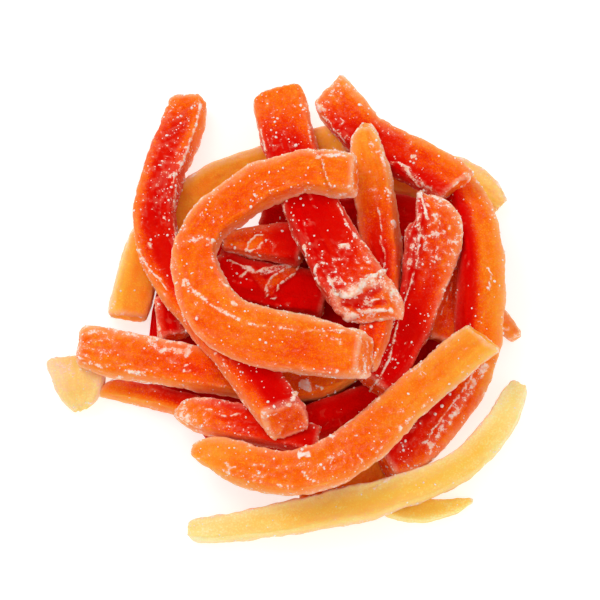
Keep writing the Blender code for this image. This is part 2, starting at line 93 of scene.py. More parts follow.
# Each spear: name, thickness in mm, rolls along it in degrees, and the route as
# (x, y, visible width), all three in pixels. They are laid in this order. Then its look:
# flesh: rows of (left, middle, right) from start to end, 0 pale yellow to deep red at 0.87, then brighter
# red up to 1, which is painted light for spears in shaded gaps.
# frost: rows of the sugar on the left corner, the faces and the right corner.
# cuts: slant across and down of the first cut end, then of the last, mm.
# ends: length and share that the first end narrows by, then the last; length in mm.
# creased: share of pleats and wrinkles.
# film and reach: strength of the peach film at the outline, and its width in pixels. The film is partly
# dried sugar and partly painted light: a rim glow painted along the outline that the camera sees.
# specks: share of loose sugar grains.
# marks: sugared folds and lumps as (radius in pixels, height in mm, sugar, points).
# stains: redder or paler places as (radius in pixels, change of the flesh, points).
PLAIN_LOOK = dict(cuts=(0, 0, 0, 0), ends=(1.2, 0.13, 1.2, 0.13), creased=1.0, rime=0.85, reach=9.0,
                  marks=(), stains=())
SPEARS = [
    ("yellow_wedge", 4.5, (0,), [
        (386, 507, 22), (408, 509, 28), (430, 510, 26), (453, 507, 18), (472, 501, 7),
    ], dict(
        flesh=((0.20, 0.18, 0.12), (0.20, 0.16, 0.10), (0.12, 0.10, 0.06)),
        frost=((0.1, 0.0, 0.1),),
        creased=0.4, specks=0.2,
    )),
    ("pale_stub", 7.5, (0,), [
        (81, 409, 22), (80, 400, 34), (79, 388, 46), (78, 374, 54), (77, 360, 58),
    ], dict(
        flesh=((0.06, 0.09, 0.07), (0.10, 0.13, 0.10), (0.08, 0.10, 0.08), (0.10, 0.12, 0.10)),
        frost=((0.1, 0.0, 0.1), (0.5, 0.1, 0.5), (0.9, 0.3, 0.9), (0.9, 0.35, 0.9)),
        cuts=(-0.4, -0.5, 0, 0), ends=(3.0, 0.3, 1.2, 0.1), creased=0.7, rime=7.0, reach=40.0, specks=0.6,
        marks=[
            (2.6, 0.1, 0.6, [(54, 384), (64, 388), (80, 390), (98, 387)]),
            (9.0, 0.0, 0.8, [(58, 368), (76, 370), (98, 371)]),
        ],
    )),
    ("pink_end", 6.0, (0,), [(458, 288, 26), (476, 299, 24), (500, 319, 20), (517, 338, 16)], dict(
        flesh=((0.42, 0.44, 0.42), (0.30, 0.36, 0.30)),
        frost=((0.8, 0.5, 0.8),),
        ends=(1.2, 0.1, 2.0, 0.3), specks=0.4,
    )),
    ("back_right", 7.0, (0,), [
        (360, 170, 44), (396, 177, 54), (430, 176, 52), (460, 179, 44), (484, 193, 38), (500, 207, 22),
    ], dict(
        flesh=((0.20, 0.30, 0.34), (0.14, 0.22, 0.27), (0.10, 0.16, 0.22), (0.09, 0.16, 0.20)),
        frost=((0.5, 0.15, 0.2), (0.7, 0.2, 0.3), (0.8, 0.3, 0.5)),
        creased=0.6, rime=3.2, reach=20.0, specks=0.6,
    )),
    ("thin_left", 6.5, (0,), [(105, 388, 20), (138, 393, 25), (168, 400, 27), (198, 407, 28)], dict(
        flesh=((0.46, 0.44, 0.34), (0.66, 0.52, 0.36), (0.84, 0.68, 0.40), (0.86, 0.80, 0.46)),
        frost=((0.2, 0.0, 0.3), (0.1, 0.0, 0.3)),
        cuts=(1.5, 0, 0, 0), specks=0.5,
    )),
    ("red_nub", 6.0, (0,), [(168, 298, 24), (170, 316, 28), (174, 338, 32)], dict(
        flesh=((0.70, 0.85, 0.70), (0.70, 0.86, 0.66)),
        frost=((0.3, 0.0, 0.5), (0.3, 0.05, 0.8)),
        specks=0.6,
        marks=[
            (6.0, 0.0, 0.95, [(176, 316), (182, 326), (188, 334)]),
        ],
    )),
    # its peach film is set strong, partly painted light that lifts the shade of the spears above it
    ("back_arc", 7.5, (10, 5, 0), [
        (127, 318, 38), (130, 304, 42), (138, 276, 42), (145, 256, 43), (153, 240, 44), (170, 217, 45),
        (193, 199, 44), (219, 182, 44), (246, 172, 44), (276, 163, 46), (305, 152, 46), (352, 140, 46),
    ], dict(
        flesh=((0.18, 0.30, 0.30), (0.17, 0.30, 0.30), (0.20, 0.31, 0.32), (0.21, 0.32, 0.34),
               (0.20, 0.30, 0.34), (0.15, 0.25, 0.31), (0.12, 0.20, 0.29)),
        frost=((0.8, 0.1, 0.2), (0.7, 0.05, 0.1), (0.7, 0.05, 0.1), (0.9, 0.15, 0.1), (1.0, 0.4, 0.1)),
        cuts=(-0.2, 0, 0, 0), creased=0.4, rime=2.4, specks=0.3,
    )),
    ("brown_gap", 4.5, (0,), [
        (300, 500, 36), (325, 496, 42), (350, 488, 44), (372, 476, 38), (386, 466, 26),
    ], dict(
        flesh=((0.36, 0.36, 0.30), (0.34, 0.36, 0.30), (0.24, 0.28, 0.22)),
        frost=((0.1, 0.0, 0.1),),
        specks=0.3,
    )),
    ("dark_cross", 7.0, (0,), [
        (262, 220, 42), (310, 222, 48), (350, 223, 52), (392, 221, 58), (418, 224, 54),
    ], dict(
        flesh=((0.86, 0.87, 0.84), (0.86, 0.88, 0.86)),
        frost=((0.1, 0.0, 0.1),),
        specks=0.3,
    )),
    # its flesh is past deep red, in the brighter red that is painted light against the shade of its gap
    ("dark_front", 7.0, (0,), [(276, 428, 38), (312, 422, 40), (346, 410, 40), (380, 396, 36)], dict(
        flesh=((0.90, 0.92, 0.84), (0.92, 0.93, 0.88)),
        frost=((0.1, 0.0, 0.1),),
        specks=0.2,
    )),
    ("right_sliver", 6.5, (0,), [(455, 256, 22), (453, 285, 26), (448, 312, 28), (440, 342, 28)], dict(
        flesh=((0.60, 0.60, 0.46), (0.52, 0.56, 0.46)),
        frost=((0.3, 0.05, 0.3),),
        specks=0.7,
        marks=[
            (1.3, 0.3, 0.8, [(447, 273), (453, 269), (461, 268)]),
            (1.3, 0.3, 0.7, [(453, 282), (448, 298), (441, 315)]),
            (1.3, 0.3, 0.7, [(460, 282), (456, 300), (453, 312)]),
        ],
    )),
    # its flesh is past deep red, in the brighter red that is painted light against the shade of its gap
    ("flat_inner", 6.5, (0,), [
        (214, 266, 46), (240, 280, 50), (268, 287, 52), (300, 291, 52), (326, 296, 48),
    ], dict(
        flesh=((0.84, 0.92, 0.93), (0.90, 0.93, 0.93), (0.92, 0.94, 0.93)),
        frost=((0.3, 0.0, 0.3),),
        specks=0.6,
        marks=[
            (2.4, 0.3, 0.85, [(229, 260), (240, 265), (252, 270)]),
            (2.2, 0.7, 0.75, [(240, 277), (247, 272), (256, 273), (266, 269), (281, 266), (298, 265)]),
            (3.4, 0.3, 0.55, [(262, 273), (278, 270), (290, 267)]),
            (1.5, 0.7, 0.95, [(300, 266), (294, 274), (285, 281), (278, 285), (277, 291), (275, 299),
                              (270, 298)]),
            (1.4, 0.6, 0.85, [(284, 270), (272, 277), (267, 285), (266, 291), (269, 298)]),
        ],
        stains=[
            (6, -0.34, [(272, 282), (282, 276), (292, 269)]),
            (5, -0.2, [(270, 292), (252, 270)]),
        ],
    )),
    ("small_inner", 6.5, (0,), [
        (222, 243, 22), (240, 242, 29), (262, 243, 38), (285, 244, 44), (304, 247, 44),
    ], dict(
        flesh=((0.42, 0.46, 0.56), (0.46, 0.56, 0.58), (0.66, 0.78, 0.74), (0.86, 0.90, 0.88)),
        frost=((0.4, 0.0, 0.5), (0.3, 0.1, 0.5), (0.2, 0.1, 0.3)),
        ends=(4.0, 0.5, 1.0, 0.1), specks=1.0,
        marks=[
            (1.5, 0.5, 0.95, [(247, 250), (249, 243), (256, 236), (263, 235), (264, 241), (259, 248),
                              (251, 251)]),
            (1.5, 0.3, 0.7, [(222, 250), (240, 253), (255, 257), (266, 262), (285, 265)]),
            (1.8, 0.2, 0.5, [(268, 240), (275, 246), (272, 252)]),
        ],
        stains=[
            (5, -0.15, [(252, 246), (260, 240)]),
        ],
    )),
    ("front_pale", 7.5, (0,), [
        (189, 530, 22), (203, 530, 28), (225, 528, 31), (250, 525, 33), (280, 520, 36), (310, 514, 37),
        (340, 507, 41), (370, 501, 40), (395, 493, 38), (420, 486, 37), (445, 475, 36), (470, 459, 35),
        (492, 436, 34), (503, 420, 31), (512, 402, 28), (519, 386, 20),
    ], dict(
        flesh=((0.03, 0.06, 0.05), (0.06, 0.10, 0.10), (0.09, 0.14, 0.15), (0.09, 0.15, 0.17),
               (0.09, 0.155, 0.16), (0.07, 0.15, 0.13), (0.04, 0.10, 0.07), (0.02, 0.05, 0.02)),
        frost=((0.3, 0.0, 0.2), (0.5, 0.05, 0.3), (0.6, 0.05, 0.4), (0.5, 0.0, 0.2), (0.3, 0.0, 0.2)),
        ends=(2.0, 0.3, 2.0, 0.25), creased=0.6, rime=3.6, reach=18.0, specks=0.6,
        marks=[
            (3.5, 0.1, 0.45, [(298, 506), (300, 519)]),
            (1.6, 0.2, 0.7, [(374, 489), (384, 482), (396, 476), (412, 469)]),
        ],
    )),
    ("right_arc", 8.0, (-20, -24, -20, -12), [
        (458, 186, 42), (472, 214, 46), (479, 246, 48), (481, 275, 49), (480, 312, 48), (477, 345, 48),
        (466, 377, 48), (452, 405, 43), (434, 429, 42), (412, 450, 42), (385, 466, 34),
    ], dict(
        flesh=((0.36, 0.52, 0.86), (0.32, 0.47, 0.86), (0.32, 0.44, 0.86), (0.30, 0.42, 0.86),
               (0.34, 0.48, 0.86), (0.46, 0.60, 0.86), (0.44, 0.66, 0.86), (0.46, 0.76, 0.84)),
        frost=((0.4, 0.05, 0.1), (0.4, 0.0, 0.1), (0.4, 0.0, 0.1), (0.4, 0.0, 0.1), (0.5, 0.1, 0.1),
               (0.7, 0.3, 0.1), (0.7, 0.3, 0.2)),
        rime=1.3, specks=1.0,
        marks=[
            (1.5, 0.3, 0.8, [(487, 267), (492, 274), (490, 281), (489, 290)]),
            (1.8, 0.5, 0.7, [(484, 345), (478, 362), (468, 382), (455, 400), (440, 420), (424, 444)]),
            (7.0, 0.1, 1.1, [(484, 366), (472, 388), (458, 408), (440, 430), (428, 452)]),
        ],
    )),
    ("upper_right", 8.0, (-6, -8, -10), [
        (329, 89, 40), (342, 108, 48), (363, 133, 49), (400, 155, 52), (432, 171, 52), (456, 188, 48),
    ], dict(
        flesh=((0.34, 0.36, 0.40), (0.40, 0.60, 0.76), (0.42, 0.76, 0.86), (0.40, 0.68, 0.86),
               (0.38, 0.60, 0.84), (0.36, 0.52, 0.74)),
        frost=((0.9, 0.5, 0.8), (0.8, 0.25, 0.7), (0.4, 0.0, 0.3), (0.4, 0.05, 0.4), (0.4, 0.1, 0.4)),
        cuts=(-1.6, -0.8, 0.6, 1.1), specks=1.2,
        marks=[
            (1.5, 0.35, 0.75, [(451, 196), (460, 187), (469, 178)]),
            (5.5, 0.4, 1.0, [(317, 106), (323, 110)]),
            (1.4, 0.4, 0.7, [(322, 114), (330, 121), (337, 131), (346, 142)]),
            (1.4, 0.3, 0.7, [(335, 119), (340, 118), (344, 123), (340, 127)]),
            (1.4, 0.3, 0.7, [(341, 133), (346, 138)]),
            (1.8, 0.5, 0.7, [(389, 163), (398, 162), (406, 168), (412, 177), (420, 186)]),
            (7.0, 0.1, 1.15, [(408, 170), (420, 184), (436, 196), (448, 200)]),
            (2.0, 0.4, 1.0, [(412, 157), (415, 157)]),
            (8.0, 0.1, 0.75, [(322, 98), (338, 90)]),
            (2.0, 0.3, 0.6, [(464, 174), (468, 177)]),
        ],
    )),
    ("lower_left", 7.5, (0,), [
        (176, 411, 18), (190, 414, 32), (212, 417, 40), (245, 424, 40), (280, 432, 38), (318, 441, 32),
    ], dict(
        flesh=((0.40, 0.36, 0.36), (0.80, 0.62, 0.50), (0.86, 0.78, 0.72), (0.86, 0.84, 0.80)),
        frost=((0.9, 0.6, 1.0), (0.3, 0.1, 0.4), (0.3, 0.05, 0.4)),
        cuts=(0, -1.0, 0, 0), ends=(3.0, 0.4, 1.2, 0.1), specks=1.0,
        marks=[
            (1.6, 0.4, 0.8, [(203, 407), (212, 411)]),
            (1.8, 0.4, 0.9, [(222, 416), (231, 416), (240, 414)]),
            (7.0, 0.1, 1.3, [(180, 408), (190, 420), (200, 428)]),
        ],
    )),
    ("left_orange", 8.0, (0,), [
        (78, 347, 42), (92, 348, 50), (110, 353, 52), (130, 357, 52), (155, 361, 50), (180, 365, 50),
        (210, 371, 50), (240, 377, 48), (270, 382, 47), (300, 382, 46), (328, 376, 42), (352, 365, 36),
    ], dict(
        flesh=((0.34, 0.43, 0.40), (0.40, 0.50, 0.42), (0.46, 0.56, 0.46), (0.52, 0.58, 0.50),
               (0.54, 0.60, 0.50), (0.48, 0.50, 0.44), (0.40, 0.43, 0.40)),
        frost=((0.9, 0.45, 0.7), (0.9, 0.3, 0.7), (0.9, 0.1, 0.7), (0.7, 0.0, 0.7), (0.3, 0.0, 0.4),
               (0.3, 0.0, 0.3)),
        cuts=(0, -0.6, 0, 0), ends=(2.2, 0.22, 1.2, 0.1), specks=1.0,
        marks=[
            (6.5, 0.2, 1.3, [(150, 342), (160, 350), (172, 349), (186, 352)]),
            (6.5, 0.1, 0.9, [(90, 332), (112, 337)]),
            (5.0, 0.1, 1.1, [(112, 332), (150, 336), (190, 345)]),
            (1.5, 0.4, 0.9, [(190, 363), (184, 367), (184, 371), (190, 371)]),
            (5.5, 0.4, 1.0, [(302, 384), (309, 388)]),
            (4.4, 0.4, 0.9, [(316, 386), (321, 388)]),
            (2.0, 0.3, 1.0, [(117, 378), (122, 377)]),
        ],
    )),
    ("right_red", 8.0, (-18, -14, -8, -16), [
        (420, 192, 6), (424, 203, 20), (431, 213, 42), (434, 225, 55), (434, 238, 59), (432, 250, 57),
        (428, 266, 52), (421, 291, 45), (413, 316, 43), (403, 340, 42), (390, 362, 41), (372, 386, 38),
    ], dict(
        flesh=((0.50, 0.50, 0.66), (0.46, 0.56, 0.86), (0.46, 0.62, 0.86), (0.54, 0.76, 0.86),
               (0.74, 0.86, 0.86), (0.84, 0.86, 0.86), (0.86, 0.86, 0.86)),
        frost=((0.9, 0.6, 0.8), (0.9, 0.55, 0.8), (0.9, 0.25, 0.6), (0.4, 0.0, 0.4), (0.3, 0.0, 0.4),
               (0.3, 0.1, 0.5)),
        ends=(1.5, 0.3, 1.2, 0.1), specks=1.8,
        marks=[
            (8.0, 0.15, 0.85, [(438, 203), (450, 211), (457, 223), (459, 240), (456, 255), (450, 270)]),
            (1.6, 0.6, 0.75, [(421, 194), (419, 214), (419, 235), (417, 262), (409, 288), (402, 310),
                              (393, 340), (389, 360), (378, 380), (366, 396)]),
            (3.0, 0.3, 0.9, [(421, 195), (424, 206), (427, 218)]),
            (2.0, 0.5, 1.0, [(436, 257), (438, 259)]),
            (1.6, 0.3, 0.6, [(431, 213), (440, 222), (436, 232)]),
            (2.0, 0.4, 0.8, [(432, 196), (440, 202)]),
        ],
    )),
    ("centre_drop", 7.5, (5, 20, 20, 10), [
        (366, 125, 18), (366, 147, 34), (371, 175, 41), (377, 205, 42), (380, 232, 42), (384, 260, 38),
        (383, 290, 36), (378, 318, 34), (371, 345, 32), (363, 366, 28),
    ], dict(
        flesh=((0.27, 0.30, 0.28), (0.38, 0.40, 0.37), (0.50, 0.58, 0.48), (0.58, 0.84, 0.64),
               (0.60, 0.86, 0.68), (0.54, 0.70, 0.62), (0.50, 0.58, 0.58)),
        frost=((1.0, 0.15, 1.0), (0.9, 0.0, 0.7), (0.5, 0.0, 0.4), (0.3, 0.1, 0.3), (0.4, 0.15, 0.3),
               (0.5, 0.15, 0.4)),
        cuts=(0, -0.8, 0, 0), ends=(3.5, 0.40, 1.2, 0.1), specks=0.9,
        marks=[
            (1.4, 0.3, 0.7, [(374, 197), (380, 215), (382, 230), (381, 243), (386, 256), (384, 268)]),
            (2.5, 0.3, 0.6, [(386, 188), (390, 194), (387, 202)]),
            (3.2, 0.3, 0.9, [(393, 221), (394, 226)]),
            (3.5, 0.1, 0.8, [(380, 136), (388, 160), (393, 180), (396, 200)]),
        ],
    )),
    ("front_orange", 8.5, (0,), [
        (193, 451, 16), (204, 453, 28), (222, 457, 40), (250, 467, 47), (277, 473, 47), (302, 472, 48),
        (333, 462, 50), (364, 441, 51), (391, 416, 50), (424, 386, 44), (462, 355, 44), (484, 337, 43),
    ], dict(
        flesh=((0.28, 0.34, 0.32), (0.40, 0.42, 0.38), (0.48, 0.48, 0.42), (0.52, 0.50, 0.44),
               (0.46, 0.46, 0.42), (0.38, 0.42, 0.36), (0.30, 0.37, 0.30), (0.24, 0.28, 0.22)),
        frost=((0.8, 0.3, 0.7), (0.6, 0.25, 0.7), (0.6, 0.35, 0.6), (0.7, 0.15, 0.8), (1.0, 0.15, 1.0)),
        cuts=(0, 0, -0.9, 0), ends=(2.5, 0.35, 1.2, 0.1), specks=0.9,
        marks=[
            (4.6, 0.4, 1.0, [(300, 455), (308, 454)]),
            (1.4, 0.4, 0.85, [(303, 472), (307, 478), (315, 481)]),
            (1.4, 0.4, 0.85, [(326, 459), (330, 463), (334, 457)]),
            (4.0, 0.1, 0.75, [(250, 464), (285, 467), (312, 463)]),
            (1.8, 0.3, 0.7, [(226, 463), (230, 469), (236, 467)]),
            (5.0, 0.2, 0.75, [(320, 468), (334, 456), (345, 448)]),
            (1.6, 0.3, 0.7, [(358, 456), (364, 466)]),
        ],
    )),
    ("long_red", 8.0, (12, 12, 0, -6), [
        (187, 102, 38), (186, 118, 43), (177, 139, 45), (168, 160, 43), (162, 179, 44), (156, 202, 44),
        (155, 228, 44), (161, 252, 44), (172, 272, 45), (190, 299, 46), (211, 324, 48), (236, 352, 50),
        (264, 389, 50), (287, 421, 46),
    ], dict(
        flesh=((0.40, 0.42, 0.42), (0.50, 0.76, 0.60), (0.72, 0.80, 0.48), (0.80, 0.80, 0.44),
               (0.82, 0.80, 0.43), (0.84, 0.84, 0.48), (0.86, 0.86, 0.54), (0.86, 0.86, 0.52),
               (0.84, 0.86, 0.50)),
        frost=((0.4, 0.25, 0.4), (0.6, 0.3, 0.4), (0.6, 0.4, 0.3), (0.5, 0.2, 0.3), (0.3, 0.0, 0.55),
               (0.2, 0.0, 0.5), (0.3, 0.0, 0.6), (0.4, 0.0, 0.7), (0.6, 0.1, 0.6)),
        cuts=(0, 0.4, 1.0, -2.6), ends=(0.8, 0.08, 0.8, 0.08), rime=0.55, specks=1.9,
        marks=[
            (1.3, 0.4, 0.45, [(168, 123), (180, 118), (190, 109), (196, 102)]),
            (1.3, 0.4, 0.45, [(166, 132), (180, 126), (190, 118)]),
            (1.3, 0.4, 0.4, [(166, 138), (176, 133), (186, 130)]),
            (2.4, 0.5, 1.0, [(150, 244), (151, 249)]),
            (1.8, 0.3, 0.9, [(164, 218), (165, 220)]),
            (2.0, 0.4, 0.8, [(140, 250), (143, 258), (150, 270), (160, 280), (167, 291)]),
            (1.6, 0.4, 0.8, [(200, 105), (196, 125), (190, 140), (184, 155), (178, 172)]),
            (10.0, 0.15, 0.75, [(182, 160), (170, 170), (158, 182)]),
            (1.6, 0.3, 0.7, [(170, 178), (176, 172), (172, 184)]),
            (1.4, 0.4, 0.7, [(176, 180), (174, 200), (174, 222), (176, 245)]),
            (2.2, 0.5, 0.9, [(297, 391), (293, 398), (288, 404)]),
            (1.6, 0.4, 0.8, [(298, 391), (304, 399), (308, 407), (311, 417)]),
            (1.3, 0.4, 0.7, [(221, 375), (234, 391), (248, 409), (262, 432)]),
            (1.4, 0.4, 0.7, [(264, 418), (274, 414), (284, 409)]),
        ],
    )),
    ("wide_red", 8.5, (0,), [
        (278, 95, 50), (283, 119, 54), (290, 146, 53), (300, 178, 53), (311, 205, 54), (322, 230, 58),
        (333, 250, 60), (347, 274, 63), (361, 292, 63), (369, 304, 60),
    ], dict(
        flesh=((0.38, 0.42, 0.42), (0.45, 0.51, 0.54), (0.54, 0.78, 0.80), (0.80, 0.86, 0.86),
               (0.82, 0.86, 0.86), (0.74, 0.86, 0.86), (0.64, 0.80, 0.80), (0.54, 0.62, 0.74)),
        frost=((0.4, 0.1, 0.4), (0.6, 0.0, 0.6), (0.6, 0.0, 0.5), (0.6, 0.0, 0.6), (0.7, 0.0, 0.8),
               (0.6, 0.1, 0.5), (0.6, 0.45, 0.4), (0.8, 0.55, 0.4)),
        cuts=(-0.9, -0.4, 3.0, -3.4), ends=(3.0, 0.25, 1.0, 0.1), rime=0.6, specks=1.4,
        marks=[
            (4.2, 1.9, 1.3, [(342, 293), (349, 293), (356, 290), (362, 284)]),
            (3.2, 1.3, 1.1, [(362, 284), (377, 276), (391, 268)]),
            (5.0, 0.9, 1.2, [(347, 317), (354, 314)]),
            (2.4, 0.6, 0.85, [(360, 311), (378, 310), (391, 310)]),
            (1.4, 0.6, 0.85, [(318, 264), (316, 271), (319, 281), (323, 286)]),
            (2.0, 0.6, 0.9, [(327, 276), (331, 282), (336, 294)]),
            (4.4, 0.5, 1.0, [(342, 246), (348, 246)]),
            (2.4, 0.4, 0.95, [(305, 247), (307, 256)]),
            (1.6, 0.5, 0.8, [(285, 205), (287, 214), (286, 223), (288, 231), (295, 238), (299, 244)]),
            (1.5, 0.3, 0.6, [(318, 262), (330, 264), (340, 258)]),
            (1.6, 0.4, 0.7, [(338, 205), (345, 222), (356, 238), (372, 252)]),
            (2.2, 0.4, 0.7, [(390, 280), (392, 300)]),
            (1.4, 0.5, 0.7, [(262, 130), (264, 142), (266, 150)]),
            (1.4, 0.4, 0.6, [(306, 118), (309, 132), (311, 144)]),
            (3.6, 0.5, 1.1, [(342, 312), (350, 319), (358, 316)]),
            (1.6, 0.4, 0.8, [(364, 303), (378, 299)]),
        ],
        stains=[
            (5, 0.26, [(344, 303), (356, 301), (367, 296), (378, 288)]),
            (3, 0.22, [(356, 308), (372, 305), (384, 302)]),
        ],
    )),
    ("top_loop", 8.5, (0, 0, 8, 14, 4), [
        (356, 176, 46), (340, 175, 50), (320, 172, 47), (302, 171, 49), (277, 180, 50), (258, 186, 50),
        (234, 204, 49), (209, 222, 46), (195, 248, 43), (197, 276, 48), (209, 304, 52), (226, 323, 57),
        (249, 334, 61), (304, 345, 61), (344, 353, 54), (366, 355, 48),
    ], dict(
        flesh=((0.44, 0.45, 0.42), (0.48, 0.49, 0.44), (0.50, 0.52, 0.44), (0.49, 0.50, 0.42),
               (0.47, 0.48, 0.42), (0.40, 0.45, 0.46), (0.42, 0.48, 0.50), (0.42, 0.48, 0.48)),
        frost=((0.9, 0.2, 0.9), (0.5, 0.0, 0.7), (0.4, 0.0, 0.7), (0.4, 0.0, 0.6), (0.5, 0.3, 0.5),
               (0.5, 0.25, 0.4), (0.6, 0.0, 0.5), (1.0, 0.1, 0.9)),
        cuts=(0, -0.4, 0, -1.4), ends=(1.0, 0.1, 1.0, 0.1), rime=1.25, specks=1.3,
        marks=[
            (1.8, -0.7, 0.0, [(319, 152), (321, 165), (325, 180), (331, 196)]),
            (1.5, 0.5, 0.7, [(322, 160), (326, 176), (332, 188)]),
            (2.2, 0.3, 0.7, [(316, 158), (322, 155), (345, 156)]),
            (2.0, 0.3, 0.8, [(336, 195), (346, 194)]),
            (3.4, 0.5, 0.64, [(186, 281), (196, 293), (205, 300)]),
            (3.4, 0.4, 0.62, [(211, 305), (225, 313), (238, 319)]),
            (3.0, 0.3, 0.56, [(247, 323), (264, 327)]),
            (3.2, 0.3, 0.64, [(280, 328), (295, 330)]),
            (2.6, 0.3, 0.58, [(305, 331), (326, 330), (346, 331)]),
            (3.6, 0.5, 1.0, [(184, 281), (184, 285)]),
            (3.6, 0.5, 1.0, [(234, 304), (237, 306)]),
            (2.0, 0.4, 0.9, [(222, 284), (227, 287)]),
            (8.0, 0.1, 0.8, [(180, 243), (198, 238), (212, 243)]),
            (1.8, 0.3, 0.7, [(192, 240), (200, 239)]),
            (1.8, 0.3, 0.7, [(206, 246), (214, 240)]),
            (6.0, 0.1, 0.75, [(172, 258), (178, 275)]),
            (1.4, 0.3, 0.8, [(253, 194), (256, 196)]),
            (1.4, 0.3, 0.7, [(272, 190), (278, 188)]),
            (5.5, 0.1, 0.9, [(363, 333), (366, 350), (365, 372)]),
        ],
    )),
]


def resample(points, count):
    """Even stations along a smooth curve through the points; a row is x, y, width."""
    p = np.array(points, float)
    pad = np.vstack([2 * p[0] - p[1], p, 2 * p[-1] - p[-2]])
    dense = []
    for i in range(len(p) - 1):
        a, b, c, d = pad[i:i + 4]
        for t in np.linspace(0, 1, 16, endpoint=False):
            dense.append(0.5 * (2 * b + (c - a) * t + (2 * a - 5 * b + 4 * c - d) * t ** 2
                                + (3 * b - 3 * c + d - a) * t ** 3))
    dense.append(p[-1])
    dense = np.array(dense)
    run = np.concatenate([[0], np.cumsum(np.hypot(*np.diff(dense[:, :2], axis=0).T))])
    at = np.linspace(0, run[-1], count)
    return np.column_stack([np.interp(at, run, dense[:, k]) for k in range(3)])


def settle(support, step):
    """Heights of a stiff spear that lies on the support under its own weight."""
    n = len(support)
    bend = np.zeros((n - 2, n))
    for i in range(n - 2):
        bend[i, i:i + 3] = (1, -2, 1)
    stiff = STIFFNESS * bend.T @ bend / step ** 3
    z = support - 0.2
    for _ in range(60):
        on = (z < support).astype(float)
        if on.sum() < 2:
            on[np.argsort(z - support)[:2]] = 1
        spring = on * CONTACT * step
        new = np.linalg.solve(stiff + np.diag(spring + 1e-6), spring * support - step)
        if np.abs(new - z).max() < 1e-4:
            break
        z = 0.5 * z + 0.5 * new
    return np.maximum(new, TABLE_GAP)


def core_heights():
    """Height map of the inner mass, from its rings."""
    top = np.zeros((2 * HALF + 1, 2 * HALF + 1))
    x, y = np.meshgrid(np.arange(-HALF, HALF + 1), np.arange(-HALF, HALF + 1), indexing="ij")
    base = np.array(CORE_OUTLINE, float)
    for height, scale in CORE_RINGS[1:]:
        ring = base * scale
        inside = np.zeros(x.shape, bool)
        for (x0, y0), (x1, y1) in zip(ring, np.roll(ring, -1, axis=0)):
            cross = (y0 > y) != (y1 > y)
            edge = x0 + (y - y0) / np.where(y1 == y0, 1.0, y1 - y0) * (x1 - x0)
            inside ^= cross & (x < edge)
        top[inside] = height
    return top


def lay_spears():
    """Lays the spears in order. Gives the name, rolls, stations and look of each.

    A station is x, y, z of the middle, width and thickness, in mm.
    """
    sin_e, cos_e = math.sin(VIEW_ELEVATION), math.cos(VIEW_ELEVATION)
    top = core_heights()
    grid = np.arange(-HALF, HALF + 1) * CELL
    gx, gy = np.meshgrid(grid, grid, indexing="ij")
    laid = []
    for name, thick, rolls, points, look in SPEARS:
        s = resample(points, STATIONS)
        u = (s[:, 0] - CENTRE_PX[0]) / PX_PER_MM
        v = (CENTRE_PX[1] - s[:, 1]) / PX_PER_MM
        roll = np.radians(np.interp(np.linspace(0, 1, STATIONS), np.linspace(0, 1, len(rolls)), rolls))
        seen = s[:, 2] / PX_PER_MM
        tall = thick * np.minimum(1.0, 1 - TAPER + TAPER * seen / np.median(seen))
        x, y, low = u, v / sin_e, np.zeros(STATIONS)
        for turn in range(TURNS):
            # the width that gives the visible one, at this lean and roll
            tx, ty = np.gradient(x), np.gradient(y)
            run = np.hypot(tx, ty)
            lean = cos_e * tx / run
            face = sin_e * np.cos(roll) + lean * np.sin(roll)
            flank = np.abs(sin_e * np.sin(roll) - lean * np.cos(roll))
            width = (seen - 0.8 * tall * flank) / face
            # the highest things under it
            support = np.zeros(STATIONS)
            for f in (-0.38, -0.19, 0.0, 0.19, 0.38):
                col = np.round((x - f * width * ty / run) / CELL).astype(int) + HALF
                row = np.round((y + f * width * tx / run) / CELL).astype(int) + HALF
                support = np.maximum(support, top[np.clip(col, 0, 2 * HALF), np.clip(row, 0, 2 * HALF)])
            new = settle(np.maximum(support - PRESS, 0.0), run.sum() / (STATIONS - 1))
            low = new if turn == 0 else 0.5 * (low + new)
            # the place where it looks as in the picture from that height
            middle = low + 0.5 * tall
            shrink = 1 - (middle * sin_e - y * cos_e) / VIEW_DISTANCE
            x, y = u * shrink, (v * shrink - middle * cos_e) / sin_e
        # its own top, for the spears that come next
        fine = np.linspace(0, STATIONS - 1, 140)
        fx, fy, fz, fw, ft = (np.interp(fine, np.arange(STATIONS), a) for a in (x, y, low, width, tall))
        away = (gx[..., None] - fx) ** 2 + (gy[..., None] - fy) ** 2
        near = away.argmin(-1)
        r = np.sqrt(np.take_along_axis(away, near[..., None], -1)[..., 0]) / (fw[near] / 2)
        surface = fz[near] + ft[near] * (1 - 0.18 * r ** 4)
        top = np.where(r < 1.0, np.maximum(top, surface), top)
        laid.append((name, roll, np.column_stack([x, y, middle, width, tall]), {**PLAIN_LOOK, **look}))
    return laid


def noise_at(points, size, seed):
    """Smooth noise, about -1 to 1, with lumps of the given size in mm."""
    q = points / size + np.array([seed * 7.31, seed * 3.17, seed * 11.7])
    return np.array([noise.noise(p) for p in q.tolist()])


def smooth(x, lo, hi):
    """0 up to lo, 1 from hi, and a soft rise between them."""
    t = np.clip((x - lo) / (hi - lo), 0, 1)
    return t * t * (3 - 2 * t)


def spread(rows, t, side):
    """Value at t along and side across (1 left, -1 right), from rows of left, middle, right."""
    rows = np.array(rows, float)
    left, middle, right = (np.interp(t, np.linspace(0, 1, len(rows)), rows[:, k]) for k in range(3))
    to_left, to_right = smooth(side, 0.1, 0.85), smooth(-side, 0.1, 0.85)
    return middle + (left - middle) * to_left + (right - middle) * to_right


